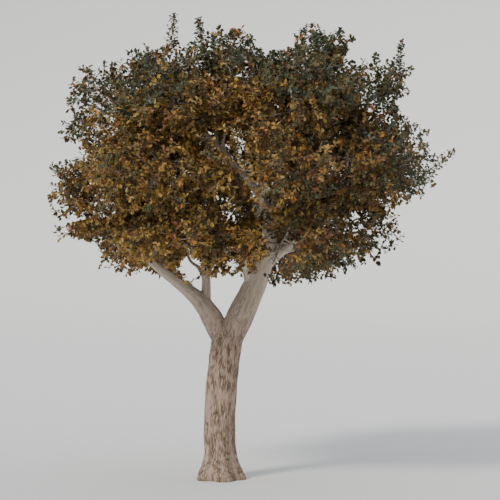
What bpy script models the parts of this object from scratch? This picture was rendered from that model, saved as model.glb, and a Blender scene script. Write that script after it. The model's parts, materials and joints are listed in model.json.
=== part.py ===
"""A broad, low-forked oak in autumn leaf.

The trunk stands on a flat cut at ground level and forks in two limbs. Boughs leave the limbs, and
each limb and bough carries one mass of leaves: a stem, its twigs and the sprays on them, fused.
Metres, +Z up, origin in the middle of the trunk's foot, the crown's broad side along X.
"""

import math
import random
from collections import namedtuple

import bmesh
import bpy
from mathutils import Matrix, Vector
from mathutils.geometry import interpolate_bezier, intersect_point_line

# Clearance between solids that touch on the real tree
GAP = 0.0003

# Trunk: a short bole that leans a little to the right and is fullest at its foot
TRUNK_DIAMETER = 0.79
TRUNK_LEAN = 0.12
TRUNK_BOW = 0.06
TRUNK_SIDES = 20
FOOT_DIAMETER = 1.16
FLARE_HEIGHT = 0.40
ROOT_RIDGES = 5
ROOT_RIDGE_DEPTH = 0.09
ROOT_RIDGE_HEIGHT = 0.45
ROOT_RIDGE_TURN = 0.6
SHOULDER_HEIGHT = 3.35
SHOULDER_DEPTH = 0.80
TRUNK_LEVELS = (0, 0.10, 0.24, 0.42, 0.65, 1.0, 1.5, 2.1, 2.7, 3.1, 3.5, 3.75, 3.95, 4.08)

# Fork: two stubs that the limbs go on from
FORK_HEIGHT = 3.45
LEFT_DIAMETER = 0.54
LEFT_RISE = 62.0
LEFT_LENGTH = 0.75
RIGHT_DIAMETER = 0.68
RIGHT_RISE = 64.0
RIGHT_LENGTH = 0.80
STUB_RESOLUTION = 4

# Crown: four tiers of masses round an upright axis a little to the right of the trunk. A tier's
# left, right and depth are the reaches of its outline. It climbs to the right by its rise for each
# metre, and its rim is raised by its cup for each square metre.
CROWN_AXIS = 0.30
CROWN_HEART = Vector((CROWN_AXIS, 0.0, 7.8))
Tier = namedtuple("Tier", "count height rise cup left right depth half_width half_height")
TIERS = {
    "low": Tier(6, 6.10, -0.03, 0.065, 4.6, 4.5, 4.2, 1.85, 1.30),
    "mid": Tier(7, 7.85, 0.06, 0.0, 5.0, 5.6, 4.9, 2.05, 1.40),
    "high": Tier(6, 9.42, 0.05, 0.0, 4.8, 5.0, 4.3, 2.00, 1.48),
    "top": Tier(4, 10.16, 0.12, 0.0, 3.5, 3.7, 2.9, 1.85, 1.28),
}

# Shoots: slender tips that stand out of the crown, each by its mass, the place of its tip, the
# bearing and rise it points in, its length and the length of its lowest spray. Towards its tip the
# sprays shorten to SHOOT_HIGHEST of that.
Shoot = namedtuple("Shoot", "tip bearing rise length spray")
SHOOTS = {
    "leaves_top_1": Shoot((-1.21, 0.0, 12.0), 0, 86, 1.10, 0.52),
    "leaves_top_2": Shoot((-0.54, -0.9, 11.7), 180, 84, 0.80, 0.38),
    "leaves_high_4": Shoot((4.62, 0.0, 11.3), 0, 88, 1.15, 0.36),
    "leaves_mid_4": Shoot((5.94, -0.9, 8.4), 5, 36, 1.40, 0.60),
}
SHOOT_SPRAYS = 7
SHOOT_SPREAD = 34.0
SHOOT_HIGHEST = 0.25

# Limbs: parent, place along it, bearing and rise where the limb leaves, how far its curve carries on
# from each end as a share of its length, how much its end turns upwards, the mass it carries, and its
# diameters at the two ends. A bearing is anticlockwise from +X, seen from above, in degrees.
Limb = namedtuple("Limb", "parent place bearing rise bend lift carries base tip")
LIMBS = {
    "limb_left": Limb("trunk", 0.0, 180, LEFT_RISE, 0.34, 0.35, "leaves_low_1", LEFT_DIAMETER, 0.20),
    "limb_right": Limb("trunk", 0.0, 0, RIGHT_RISE, 0.60, -0.60, "leaves_top_1", RIGHT_DIAMETER, 0.12),
    "bough_upright": Limb("limb_left", 0.12, 60, 82, 0.60, 0.10, "leaves_high_1", 0.24, 0.09),
    "bough_right": Limb("limb_right", 0.21, 350, 44, 0.34, 0.35, "leaves_mid_4", 0.32, 0.11),
    "bough_front": Limb("limb_right", 0.12, 210, 64, 0.34, 0.35, "leaves_mid_3", 0.24, 0.10),
    "bough_back": Limb("limb_right", 0.33, 100, 55, 0.34, 0.35, "leaves_mid_6", 0.28, 0.10),
}
LIMB_RESOLUTION = 2
LIMB_STEP = 0.55
LIMB_FEWEST_STEPS = 4
LIMB_WAVER = 0.025
LIMB_TAPER = 2.0
LIMB_COLLAR = 0.04

# Boughs that the rule adds, one to each mass that no named limb carries. Each leaves its limb at
# one of the evenly spaced places from the first to the last, BOUGH_PULL tells how far it turns
# towards its mass there, and BOUGH_TURN_COST weighs that turn against a longer way. Bend and lift
# are those of the limbs.
BOUGH_BASE = 0.17
BOUGH_TIP = 0.08
BOUGH_BEND = 0.34
BOUGH_LIFT = 0.35
BOUGH_SPACING = 0.30
BOUGH_SHORTEST = 1.6
BOUGH_PLACES = 20
BOUGH_FIRST_PLACE = 3
BOUGH_LAST_PLACE = 18
BOUGH_PULL = 1.4
BOUGH_TURN_COST = 1.2
BOUGH_BASE_TO_PARENT = 0.75

# A limb ends this share of its mass's half height short of the mass's centre
ENTRY = 0.50

# Twigs of a mass, the first straight away from the crown's heart and the others evenly round. They
# leave its stem between two shares of its length, reach for places at a share of the way to the skin
# of its space, and are cut back where the way isn't free.
TWIGS = 6
TWIG_REACH = 0.66
TWIG_ROOTS = (0.25, 0.90)
TWIG_CUTS = (1.0, 0.8, 0.6)
STEM_REACH = 1.25
STEM_DIAMETER = 0.076
TWIG_DIAMETER = 0.056
TWIG_TIP = 0.032

# Sprays of a mass: thin blades, sized as shares of their length. They leave a twig near its end.
SPRAYS = 18
SPRAY_PLACES = 48
SPRAY_ROOTS = (0.60, 0.98)
SPRAY_LENGTH = 1.05
SPRAY_SHORTEST = 0.45
SPRAY_CUT = 0.08
SPRAY_REACH = 0.98
SPRAY_WIDTH = 0.58
SPRAY_THICKNESS = 0.030
SPRAY_WIDEST = 0.12
SPRAY_CORNERS = 8

# Blades of a mass keep this far apart: the tested shares of one from the part of the other between
# two shares of its length
SPRAYS_APART = 0.38
SPRAY_TESTS = (0.5, 0.75, 1.0)
SPRAY_FREE_PART = (0.3, 1.1)

# How far twigs and sprays keep from limbs and from the walls of their space, and how closely a way
# is tested against the limbs
CLEAR = 0.012
TEST_STEP = 0.10

SEED = 12
GOLDEN_TURN = math.pi * (3 - math.sqrt(5))
WELD = 0.00005
SHARP_ANGLE = 50.0

BARK_COLOUR = (0.26, 0.20, 0.15)
BARK_ROUGHNESS = 0.9
LEAF_COLOUR = (0.16, 0.09, 0.03)
LEAF_ROUGHNESS = 0.75


def remove_everything():
    for thing in list(bpy.data.objects):
        bpy.data.objects.remove(thing, do_unlink=True)


def new_collection(name):
    collection = bpy.data.collections.new(name)
    bpy.context.scene.collection.children.link(collection)
    return collection


def new_material(name, colour, roughness):
    """A plain dry surface of one colour."""
    material = bpy.data.materials.new(name)
    material.use_nodes = True
    shader = material.node_tree.nodes["Principled BSDF"]
    shader.inputs["Base Color"].default_value = (*colour, 1.0)
    shader.inputs["Roughness"].default_value = roughness
    shader.inputs["Metallic"].default_value = 0.0
    return material


def heading(bearing, rise):
    """The direction with this bearing and this rise above the level, both in degrees."""
    flat = math.cos(math.radians(rise))
    turn = math.radians(bearing)
    return Vector((flat * math.cos(turn), flat * math.sin(turn), math.sin(math.radians(rise))))


def finish(mesh, name, material, collection):
    """Puts a mesh in the collection as a smooth object with its material."""
    mesh.name = name
    mesh.materials.clear()
    mesh.materials.append(material)
    mesh.shade_smooth()
    mesh.set_sharp_from_angle(angle=math.radians(SHARP_ANGLE))
    thing = bpy.data.objects.new(name, mesh)
    collection.objects.link(thing)
    return thing


def evaluated_mesh(thing):
    """The object's mesh with its modifiers applied."""
    graph = bpy.context.evaluated_depsgraph_get()
    return bpy.data.meshes.new_from_object(thing.evaluated_get(graph))


def largest_body(mesh):
    """Drops loose scraps and the walls of sealed hollows, which are bodies of their own."""
    shape = bmesh.new()
    shape.from_mesh(mesh)
    unseen = set(shape.verts)
    bodies = []
    while unseen:
        body = {unseen.pop()}
        edge_of_body = list(body)
        while edge_of_body:
            vert = edge_of_body.pop()
            near = {edge.other_vert(vert) for edge in vert.link_edges} & unseen
            unseen -= near
            body |= near
            edge_of_body.extend(near)
        bodies.append(body)
    bodies.sort(key=len)
    for body in bodies[:-1]:
        bmesh.ops.delete(shape, geom=list(body), context="VERTS")
    shape.to_mesh(mesh)
    shape.free()
    return mesh


def fused(meshes):
    """One closed mesh out of many that run into each other."""
    pieces = bpy.data.collections.new("pieces")
    base = bpy.data.objects.new("base", meshes[0])
    bpy.context.scene.collection.objects.link(base)
    for mesh in meshes[1:]:
        pieces.objects.link(bpy.data.objects.new("piece", mesh))
    union = base.modifiers.new("union", "BOOLEAN")
    union.operation = "UNION"
    union.operand_type = "COLLECTION"
    union.collection = pieces
    joined = largest_body(evaluated_mesh(base))
    for thing in [base, *pieces.objects]:
        bpy.data.objects.remove(thing, do_unlink=True)
    bpy.data.collections.remove(pieces)
    return joined


def tube(points, radii, resolution, spare=0.0):
    """A mesh tube along the points, with flat ends and its own radius at each point."""
    curve = bpy.data.curves.new("tube", "CURVE")
    curve.dimensions = "3D"
    curve.bevel_depth = 1.0
    curve.bevel_resolution = resolution
    curve.use_fill_caps = True
    spline = curve.splines.new("POLY")
    spline.points.add(len(points) - 1)
    for spot, point, radius in zip(spline.points, points, radii):
        spot.co = (*point, 1.0)
        spot.radius = radius + spare
    thing = bpy.data.objects.new("tube", curve)
    bpy.context.scene.collection.objects.link(thing)
    mesh = evaluated_mesh(thing)
    bpy.data.objects.remove(thing, do_unlink=True)
    bpy.data.curves.remove(curve)
    shape = bmesh.new()
    shape.from_mesh(mesh)
    bmesh.ops.remove_doubles(shape, verts=shape.verts, dist=WELD)
    bmesh.ops.triangulate(shape, faces=shape.faces, quad_method="FIXED")
    shape.to_mesh(mesh)
    shape.free()
    return mesh


def trunk_middle(height):
    """The middle of the trunk at a height: it bows a little left and then leans right."""
    share = height / SHOULDER_HEIGHT
    return Vector((TRUNK_LEAN * share * share - TRUNK_BOW * math.sin(math.pi * share), 0.0, height))


def trunk_radius(height, turn):
    """The trunk's radius, wider at the flare, ridged over the roots and closing at the shoulder."""
    flare = (FOOT_DIAMETER - TRUNK_DIAMETER) / 2 * math.exp(-((height / FLARE_HEIGHT) ** 2))
    ridge = ROOT_RIDGE_DEPTH * math.exp(-height / ROOT_RIDGE_HEIGHT)
    radius = TRUNK_DIAMETER / 2 + flare + ridge * math.cos(ROOT_RIDGES * turn + ROOT_RIDGE_TURN)
    above = max(0.0, height - SHOULDER_HEIGHT) / SHOULDER_DEPTH
    return radius * math.sqrt(1.0 - above * above)


def trunk_bole():
    """The bole from the flat foot to the shoulder, lofted through its level sections."""
    shape = bmesh.new()
    ring = bmesh.ops.create_circle(shape, segments=TRUNK_SIDES, radius=1.0)["verts"]
    edges = shape.edges[:]
    rings = [ring]
    for _ in TRUNK_LEVELS[1:]:
        grown = bmesh.ops.extrude_edge_only(shape, edges=edges)["geom"]
        rings.append([item for item in grown if isinstance(item, bmesh.types.BMVert)])
        edges = [item for item in grown if isinstance(item, bmesh.types.BMEdge)]
    bmesh.ops.holes_fill(shape, edges=shape.edges, sides=TRUNK_SIDES)
    for height, ring in zip(TRUNK_LEVELS, rings):
        middle = trunk_middle(height)
        for vert in ring:
            turn = math.atan2(vert.co.y, vert.co.x)
            radius = trunk_radius(height, turn)
            vert.co = middle + Vector((radius * math.cos(turn), radius * math.sin(turn), 0.0))
    bmesh.ops.recalc_face_normals(shape, faces=shape.faces)
    mesh = bpy.data.meshes.new("bole")
    shape.to_mesh(mesh)
    shape.free()
    return mesh


def fork_end(name):
    """Where the stub of the fork that a limb goes on from stops."""
    limb = LIMBS[name]
    length = LEFT_LENGTH if name == "limb_left" else RIGHT_LENGTH
    return trunk_middle(FORK_HEIGHT) + heading(limb.bearing, limb.rise) * length


def fork_stub(name):
    ends = [trunk_middle(FORK_HEIGHT), fork_end(name)]
    return tube(ends, [LIMBS[name].base / 2] * 2, STUB_RESOLUTION)


Mass = namedtuple("Mass", "name centre half_width half_height walls")


def crown_masses():
    """The masses of leaves, tier by tier. Walls half way to its neighbours bound each one's space."""
    places = []
    for tier_name, tier in TIERS.items():
        for number in range(tier.count):
            turn = math.pi + 2 * math.pi * number / tier.count
            side = tier.left if math.cos(turn) < 0 else tier.right
            x = CROWN_AXIS + (side - tier.half_width) * math.cos(turn)
            y = (tier.depth - tier.half_width) * math.sin(turn)
            centre = Vector((x, y, tier.height + tier.rise * x + tier.cup * x * x))
            name = f"leaves_{tier_name}_{number + 1}"
            places.append((name, centre, tier.half_width, tier.half_height))
    masses = {}
    for name, centre, half_width, half_height in places:
        walls = []
        for other_name, other, other_width, _ in places:
            if other_name != name:
                apart = other - centre
                weight = half_width**2 - other_width**2
                share = (apart.length_squared + weight) / (2 * apart.length)
                walls.append((apart.normalized(), share))
        masses[name] = Mass(name, centre, half_width, half_height, walls)
    return masses


def on_skin(mass, direction, share=1.0):
    """The place in this direction at a share of the way from the mass's centre to its skin."""
    across = mass.half_width * share
    up = mass.half_height * share
    return mass.centre + Vector((direction.x * across, direction.y * across, direction.z * up))


def space_holds(mass, point):
    """Whether the point lies in the mass's own space: its ellipsoid, inside its walls."""
    way = point - mass.centre
    across = (way.x**2 + way.y**2) / mass.half_width**2
    if across + way.z**2 / mass.half_height**2 > 1.0:
        return False
    return all(way.dot(normal) < share - CLEAR for normal, share in mass.walls)


def evenly_round(count, turn):
    """Directions dealt evenly over a sphere, on a spiral."""
    directions = []
    for number in range(count):
        height = 1 - 2 * (number + 0.5) / count
        flat = math.sqrt(1 - height * height)
        angle = turn + GOLDEN_TURN * number
        directions.append(Vector((flat * math.cos(angle), flat * math.sin(angle), height)))
    return directions


Ends = namedtuple("Ends", "start leaving end arriving bend base tip phase")
GrownLimb = namedtuple("GrownLimb", "points radii parent")


def limb_line(ends):
    """A limb's middle line and radii: one sweep that wavers a little and thins fastest at first.

    Its first and last stretches are short and straight, so that its ends are square to them.
    """
    length = (ends.end - ends.start).length
    steps = max(LIMB_FEWEST_STEPS, round(length / LIMB_STEP)) + 1
    pull = length * ends.bend
    first = ends.start + ends.leaving * LIMB_COLLAR
    last = ends.end - ends.arriving * LIMB_COLLAR
    handles = (first + ends.leaving * pull, last - ends.arriving * pull)
    sweep = interpolate_bezier(first, *handles, last, steps)
    sideways = (ends.end - ends.start).cross(Vector((0, 0, 1))).normalized()
    radii = [ends.base / 2]
    for number, point in enumerate(sweep):
        share = number / (steps - 1)
        waver = math.sin(2 * math.pi * share + ends.phase) * math.sin(math.pi * share) ** 2
        point += sideways * (waver * LIMB_WAVER * length)
        radii.append((ends.tip + (ends.base - ends.tip) * (1 - share) ** LIMB_TAPER) / 2)
    radii.append(ends.tip / 2)
    return [ends.start, *sweep, ends.end], radii


def limb_length(limb):
    return sum((b - a).length for a, b in zip(limb.points, limb.points[1:]))


def place_on(limb, share):
    """The middle, the direction and the radius of a limb at a share of its length."""
    ahead = share * limb_length(limb)
    for number, (a, b) in enumerate(zip(limb.points, limb.points[1:])):
        stretch = (b - a).length
        if ahead <= stretch or number == len(limb.points) - 2:
            break
        ahead -= stretch
    part = ahead / stretch
    radius = limb.radii[number] * (1 - part) + limb.radii[number + 1] * part
    return a.lerp(b, part), (b - a).normalized(), radius


def entry_of(mass, start, lift):
    """Where a limb that comes from start enters the mass, and the way it points there."""
    arriving = (mass.centre - start).normalized() + Vector((0, 0, lift))
    arriving.normalize()
    return mass.centre - arriving * (ENTRY * mass.half_height), arriving


def near_limb(limbs, start, end, width):
    """Whether anything of this width between start and end would touch a limb."""
    steps = max(2, math.ceil((end - start).length / TEST_STEP))
    for number in range(steps + 1):
        point = start.lerp(end, number / steps)
        for limb in limbs.values():
            for a, b, radius in zip(limb.points, limb.points[1:], limb.radii):
                spot, share = intersect_point_line(point, a, b)
                spot = a if share < 0 else b if share > 1 else spot
                if (point - spot).length < radius + width / 2 + CLEAR:
                    return True
    return False


def places_for(mass, limbs, taken):
    """The places on the named limbs for the mass's bough: first those with a short, easy way."""
    places = []
    for name in LIMBS:
        length = limb_length(limbs[name])
        for number in range(BOUGH_FIRST_PLACE, BOUGH_LAST_PLACE + 1):
            place = number / BOUGH_PLACES
            if any(abs(place - other) * length < BOUGH_SPACING for other in taken[name]):
                continue
            start, along, _ = place_on(limbs[name], place)
            way = mass.centre - start
            if way.length < BOUGH_SHORTEST:
                continue
            turn = 1 - along.dot(way.normalized())
            cost = way.length * (1 + BOUGH_TURN_COST * turn)
            places.append((cost, name, place))
    return [(name, place) for _, name, place in sorted(places)]


def bough_from(parent, place, mass, limbs):
    """The bough that leaves its parent at this place for the mass."""
    start, along, radius = place_on(limbs[parent], place)
    tip, arriving = entry_of(mass, start, BOUGH_LIFT)
    leaving = (along + (tip - start).normalized() * BOUGH_PULL).normalized()
    base = min(BOUGH_BASE, 2 * radius * BOUGH_BASE_TO_PARENT)
    ends = Ends(start, leaving, tip, arriving, BOUGH_BEND, base, BOUGH_TIP, len(limbs))
    return GrownLimb(*limb_line(ends), parent)


def is_free(bough, limbs):
    """Whether a bough keeps clear of every limb but its parent."""
    others = {name: limb for name, limb in limbs.items() if limb is not limbs[bough.parent]}
    stretches = zip(bough.points, bough.points[1:], bough.radii)
    return not any(near_limb(others, a, b, 2 * radius) for a, b, radius in stretches)


def grow_limbs(masses):
    """The named limbs, then one bough to each mass that has none, by the easiest way to it."""
    limbs = {}
    carried = {}
    taken = {name: [] for name in LIMBS}
    for number, (name, limb) in enumerate(LIMBS.items()):
        leaving = heading(limb.bearing, limb.rise)
        if limb.parent == "trunk":
            start = fork_end(name) + leaving * GAP
        else:
            start, _, _ = place_on(limbs[limb.parent], limb.place)
            taken[limb.parent].append(limb.place)
        tip, arriving = entry_of(masses[limb.carries], start, limb.lift)
        ends = Ends(start, leaving, tip, arriving, limb.bend, limb.base, limb.tip, number)
        limbs[name] = GrownLimb(*limb_line(ends), limb.parent)
        carried[limb.carries] = name
    for mass in masses.values():
        if mass.name not in carried:
            name = mass.name.replace("leaves", "bough")
            for parent, place in places_for(mass, limbs, taken):
                bough = bough_from(parent, place, mass, limbs)
                if is_free(bough, limbs):
                    break
            taken[parent].append(place)
            limbs[name] = bough
            carried[mass.name] = name
    return limbs, carried


def cone_between(start, end, radius_start, radius_end):
    """A three-sided twig."""
    shape = bmesh.new()
    way = end - start
    turn = way.to_track_quat("Z", "Y").to_matrix().to_4x4()
    matrix = Matrix.Translation((start + end) / 2) @ turn
    bmesh.ops.create_cone(
        shape,
        cap_ends=True,
        segments=3,
        radius1=radius_start,
        radius2=radius_end,
        depth=way.length,
        matrix=matrix,
    )
    mesh = bpy.data.meshes.new("twig")
    shape.to_mesh(mesh)
    shape.free()
    return mesh


def spray_blade(root, tip, roll):
    """A spray as one thin pointed blade of eight faces, widest past the middle."""
    shape = bmesh.new()
    bmesh.ops.create_uvsphere(shape, u_segments=4, v_segments=2, radius=0.5)
    length = (tip - root).length
    for vert in shape.verts:
        x, y, z = vert.co
        if abs(z) < WELD:
            z = SPRAY_WIDEST
        vert.co = Vector((x * SPRAY_WIDTH, y * SPRAY_THICKNESS, z)) * length
    turn = (tip - root).to_track_quat("Z", "Y").to_matrix().to_4x4()
    matrix = Matrix.Translation((root + tip) / 2) @ turn @ Matrix.Rotation(roll, 4, "Z")
    shape.transform(matrix)
    mesh = bpy.data.meshes.new("spray")
    shape.to_mesh(mesh)
    shape.free()
    return mesh


Twig = namedtuple("Twig", "start end base tip")
Spray = namedtuple("Spray", "root tip roll")


def grow_twigs(mass, limb, limbs, chance):
    """The mass's stem from its limb's tip, and twigs off it towards places dealt round its space."""
    arriving = (limb.points[-1] - limb.points[-2]).normalized()
    start = limb.points[-1] + arriving * GAP
    stem_end = start + arriving * ((mass.centre - start).length * STEM_REACH)
    twigs = [Twig(start, stem_end, STEM_DIAMETER, TWIG_TIP)]
    outwards = (mass.centre - CROWN_HEART).normalized()
    for direction in [outwards, *evenly_round(TWIGS - 1, chance.uniform(0, 2 * math.pi))]:
        root = start.lerp(stem_end, chance.uniform(*TWIG_ROOTS))
        aim = on_skin(mass, direction, TWIG_REACH)
        for cut in TWIG_CUTS:
            end = root.lerp(aim, cut)
            free = space_holds(mass, end) and not near_limb(limbs, root, end, TWIG_DIAMETER)
            if free and (end - root).length > SPRAY_SHORTEST:
                twigs.append(Twig(root, end, TWIG_DIAMETER, TWIG_TIP))
                break
    return twigs


def spray_fits(mass, root, tip, limbs):
    """Whether a blade of any roll stays in the mass's space and off the limbs."""
    width = (tip - root).length * SPRAY_WIDTH
    middle = root.lerp(tip, 0.5 + SPRAY_WIDEST)
    side = (tip - root).orthogonal().normalized() * (width / 2)
    turn = Matrix.Rotation(2 * math.pi / SPRAY_CORNERS, 3, (tip - root).normalized())
    corners = [tip]
    for _ in range(SPRAY_CORNERS):
        corners.append(middle + side)
        side = turn @ side
    inside = all(space_holds(mass, corner) for corner in corners)
    return inside and not near_limb(limbs, root, tip, width)


def apart(root, tip, sprays):
    """Whether the outer half of a blade keeps its distance from the blades already there."""
    first, last = SPRAY_FREE_PART
    for other in sprays:
        for share in SPRAY_TESTS:
            point = root.lerp(tip, share)
            spot, along = intersect_point_line(point, other.root, other.tip)
            if first < along < last and (point - spot).length < SPRAYS_APART:
                return False
    return True


def grow_sprays(mass, twigs, limbs, chance):
    """Blades from the twigs to places dealt round the skin of the mass's space."""
    sprays = []
    directions = evenly_round(SPRAY_PLACES, chance.uniform(0, 2 * math.pi))
    chance.shuffle(directions)
    for direction in directions:
        if len(sprays) == SPRAYS:
            break
        aim = on_skin(mass, direction)
        twig = min(twigs, key=lambda each: (each.end - aim).length)
        root = twig.start.lerp(twig.end, chance.uniform(*SPRAY_ROOTS))
        roll = chance.uniform(0, math.pi)
        way = (aim - root).normalized()
        length = min(SPRAY_LENGTH, (aim - root).length * SPRAY_REACH)
        while length > SPRAY_SHORTEST:
            tip = root + way * length
            if spray_fits(mass, root, tip, limbs) and apart(root, tip, sprays):
                sprays.append(Spray(root, tip, roll))
                break
            length -= SPRAY_CUT
    return sprays


def grow_shoot(mass, twigs):
    """A slender tip that a twig leads to from the nearest one, its sprays shorter towards its top."""
    if mass.name not in SHOOTS:
        return []
    shoot = SHOOTS[mass.name]
    tip = Vector(shoot.tip)
    way = heading(shoot.bearing, shoot.rise)
    root = tip - way * shoot.length
    start = min((twig.end for twig in twigs), key=lambda end: (end - root).length)
    twigs.append(Twig(start, root, TWIG_TIP, TWIG_TIP))
    twigs.append(Twig(root, tip, TWIG_TIP, TWIG_TIP / 2))
    side = way.orthogonal().normalized()
    spread = math.radians(SHOOT_SPREAD)
    sprays = []
    for number in range(SHOOT_SPRAYS):
        share = number / SHOOT_SPRAYS
        turned = Matrix.Rotation(GOLDEN_TURN * number, 3, way) @ side
        leaning = way * math.cos(spread) + turned * math.sin(spread)
        place = root.lerp(tip, share)
        length = shoot.spray * (1 - (1 - SHOOT_HIGHEST) * share)
        sprays.append(Spray(place, place + leaning * length, number))
    return sprays


def build_trunk(material, collection):
    mesh = fused([trunk_bole(), fork_stub("limb_left"), fork_stub("limb_right")])
    finish(mesh, "trunk", material, collection)


def build_seat(name, limb, cutters):
    """A copy of a limb, thicker by the gap, that cuts the seats of the boughs on it."""
    mesh = tube(limb.points, limb.radii, LIMB_RESOLUTION, GAP)
    seat = bpy.data.objects.new(f"{name}_seat", mesh)
    seat.hide_render = True
    seat.display_type = "WIRE"
    cutters.objects.link(seat)


def build_limb(name, limb, material, collection, cutters):
    """A limb or bough. Where it leaves another limb, that limb's surface cuts its seat."""
    mesh = tube(limb.points, limb.radii, LIMB_RESOLUTION)
    thing = finish(mesh, name, material, collection)
    if limb.parent != "trunk":
        cut = thing.modifiers.new("seat", "BOOLEAN")
        cut.operation = "DIFFERENCE"
        cut.object = cutters.objects[f"{limb.parent}_seat"]


def build_mass(mass, limb, limbs, material, collection):
    """A mass of leaves: its stem, twigs and sprays fused as one solid."""
    chance = random.Random(f"{SEED} {mass.name}")
    twigs = grow_twigs(mass, limb, limbs, chance)
    sprays = grow_sprays(mass, twigs, limbs, chance) + grow_shoot(mass, twigs)
    meshes = [cone_between(twig.start, twig.end, twig.base / 2, twig.tip / 2) for twig in twigs]
    meshes += [spray_blade(spray.root, spray.tip, spray.roll) for spray in sprays]
    finish(fused(meshes), mass.name, material, collection)


def main():
    remove_everything()
    tree = new_collection("oak_tree")
    cutters = new_collection("cutters")
    bark = new_material("bark", BARK_COLOUR, BARK_ROUGHNESS)
    foliage = new_material("autumn_leaves", LEAF_COLOUR, LEAF_ROUGHNESS)
    masses = crown_masses()
    limbs, carried = grow_limbs(masses)
    build_trunk(bark, tree)
    for name in LIMBS:
        build_seat(name, limbs[name], cutters)
    for name, limb in limbs.items():
        build_limb(name, limb, bark, tree, cutters)
    for mass in masses.values():
        build_mass(mass, limbs[carried[mass.name]], limbs, foliage, tree)


main()
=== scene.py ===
"""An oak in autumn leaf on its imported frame: its bark, twigs and leaves, in a plain pale studio."""

import json
import math
import random
from collections import namedtuple

import bmesh
import bpy
import numpy as np
from mathutils import Matrix, Vector, kdtree, noise
from mathutils.geometry import interpolate_bezier, intersect_point_line

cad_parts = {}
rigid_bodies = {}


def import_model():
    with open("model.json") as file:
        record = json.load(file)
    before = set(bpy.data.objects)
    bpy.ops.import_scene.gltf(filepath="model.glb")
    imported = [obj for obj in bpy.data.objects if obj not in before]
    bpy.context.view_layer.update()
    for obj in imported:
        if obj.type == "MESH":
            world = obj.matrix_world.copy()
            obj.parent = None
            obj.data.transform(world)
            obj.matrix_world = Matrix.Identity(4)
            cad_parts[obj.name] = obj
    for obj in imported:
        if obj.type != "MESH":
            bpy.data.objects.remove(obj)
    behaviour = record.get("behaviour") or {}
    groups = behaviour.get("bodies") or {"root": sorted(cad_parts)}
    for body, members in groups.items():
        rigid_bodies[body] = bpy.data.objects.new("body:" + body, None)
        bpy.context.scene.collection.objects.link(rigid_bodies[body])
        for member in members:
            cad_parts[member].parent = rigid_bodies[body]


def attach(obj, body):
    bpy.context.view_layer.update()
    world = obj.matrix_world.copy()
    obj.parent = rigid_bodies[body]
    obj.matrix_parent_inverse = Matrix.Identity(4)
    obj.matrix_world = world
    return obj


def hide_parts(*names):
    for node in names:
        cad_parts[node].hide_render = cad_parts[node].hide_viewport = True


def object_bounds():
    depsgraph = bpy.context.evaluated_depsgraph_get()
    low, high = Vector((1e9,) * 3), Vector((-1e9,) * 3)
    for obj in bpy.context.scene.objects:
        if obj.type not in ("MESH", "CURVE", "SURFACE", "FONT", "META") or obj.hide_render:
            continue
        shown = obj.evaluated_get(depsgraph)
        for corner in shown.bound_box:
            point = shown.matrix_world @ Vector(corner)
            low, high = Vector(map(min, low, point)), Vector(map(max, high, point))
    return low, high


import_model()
solid_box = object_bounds()


# The crown's spaces. The oak shares one broad dome of leaves among its limbs and boughs, in four
# tiers round an axis a little to the right of the trunk. Each mass of leaves keeps to its own
# space, an ellipsoid cut off half way to its neighbours, and every limb makes for one of them.
CROWN_AXIS = 0.30
CROWN_HEART = Vector((CROWN_AXIS, 0.0, 7.8))
WALL_CLEAR = 0.012
Tier = namedtuple("Tier", "count height rise cup left right depth half_width half_height")
TIERS = {
    "low": Tier(6, 6.10, -0.03, 0.065, 4.6, 4.5, 4.2, 1.85, 1.30),
    "mid": Tier(7, 7.85, 0.06, 0.0, 5.0, 5.6, 4.9, 2.05, 1.40),
    "high": Tier(6, 9.42, 0.05, 0.0, 4.8, 5.0, 4.3, 2.00, 1.48),
    "top": Tier(4, 10.16, 0.12, 0.0, 3.5, 3.7, 2.9, 1.85, 1.28),
}
Mass = namedtuple("Mass", "name centre half_width half_height walls wall_places")


def crown_masses():
    """The masses of leaves, tier by tier, each with the walls half way to its neighbours."""
    places = []
    for tier_name, tier in TIERS.items():
        for number in range(tier.count):
            turn = math.pi + 2 * math.pi * number / tier.count
            side = tier.left if math.cos(turn) < 0 else tier.right
            x = CROWN_AXIS + (side - tier.half_width) * math.cos(turn)
            y = (tier.depth - tier.half_width) * math.sin(turn)
            centre = Vector((x, y, tier.height + tier.rise * x + tier.cup * x * x))
            name = f"leaves_{tier_name}_{number + 1}"
            places.append((name, centre, tier.half_width, tier.half_height))
    grown = {}
    for name, centre, half_width, half_height in places:
        walls = []
        wall_places = []
        for other_name, other, other_width, _ in places:
            if other_name != name:
                apart = other - centre
                weight = half_width**2 - other_width**2
                walls.append(apart.normalized())
                wall_places.append((apart.length_squared + weight) / (2 * apart.length))
        walls = np.array(walls)
        wall_places = np.array(wall_places)
        grown[name] = Mass(name, centre, half_width, half_height, walls, wall_places)
    return grown


def space_holds(mass, points):
    """Which of the points lie in the mass's own space: its ellipsoid, inside its walls."""
    ways = points - np.array(mass.centre)
    across = (ways[:, 0] ** 2 + ways[:, 1] ** 2) / mass.half_width**2
    inside = across + ways[:, 2] ** 2 / mass.half_height**2 <= 1.0
    return inside & (ways @ mass.walls.T < mass.wall_places - WALL_CLEAR).all(axis=1)


def on_skin(mass, direction, share=1.0):
    """The place in this direction at a share of the way from the mass's centre to its skin."""
    across = mass.half_width * share
    up = mass.half_height * share
    return mass.centre + Vector((direction.x * across, direction.y * across, direction.z * up))


masses = crown_masses()


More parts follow.
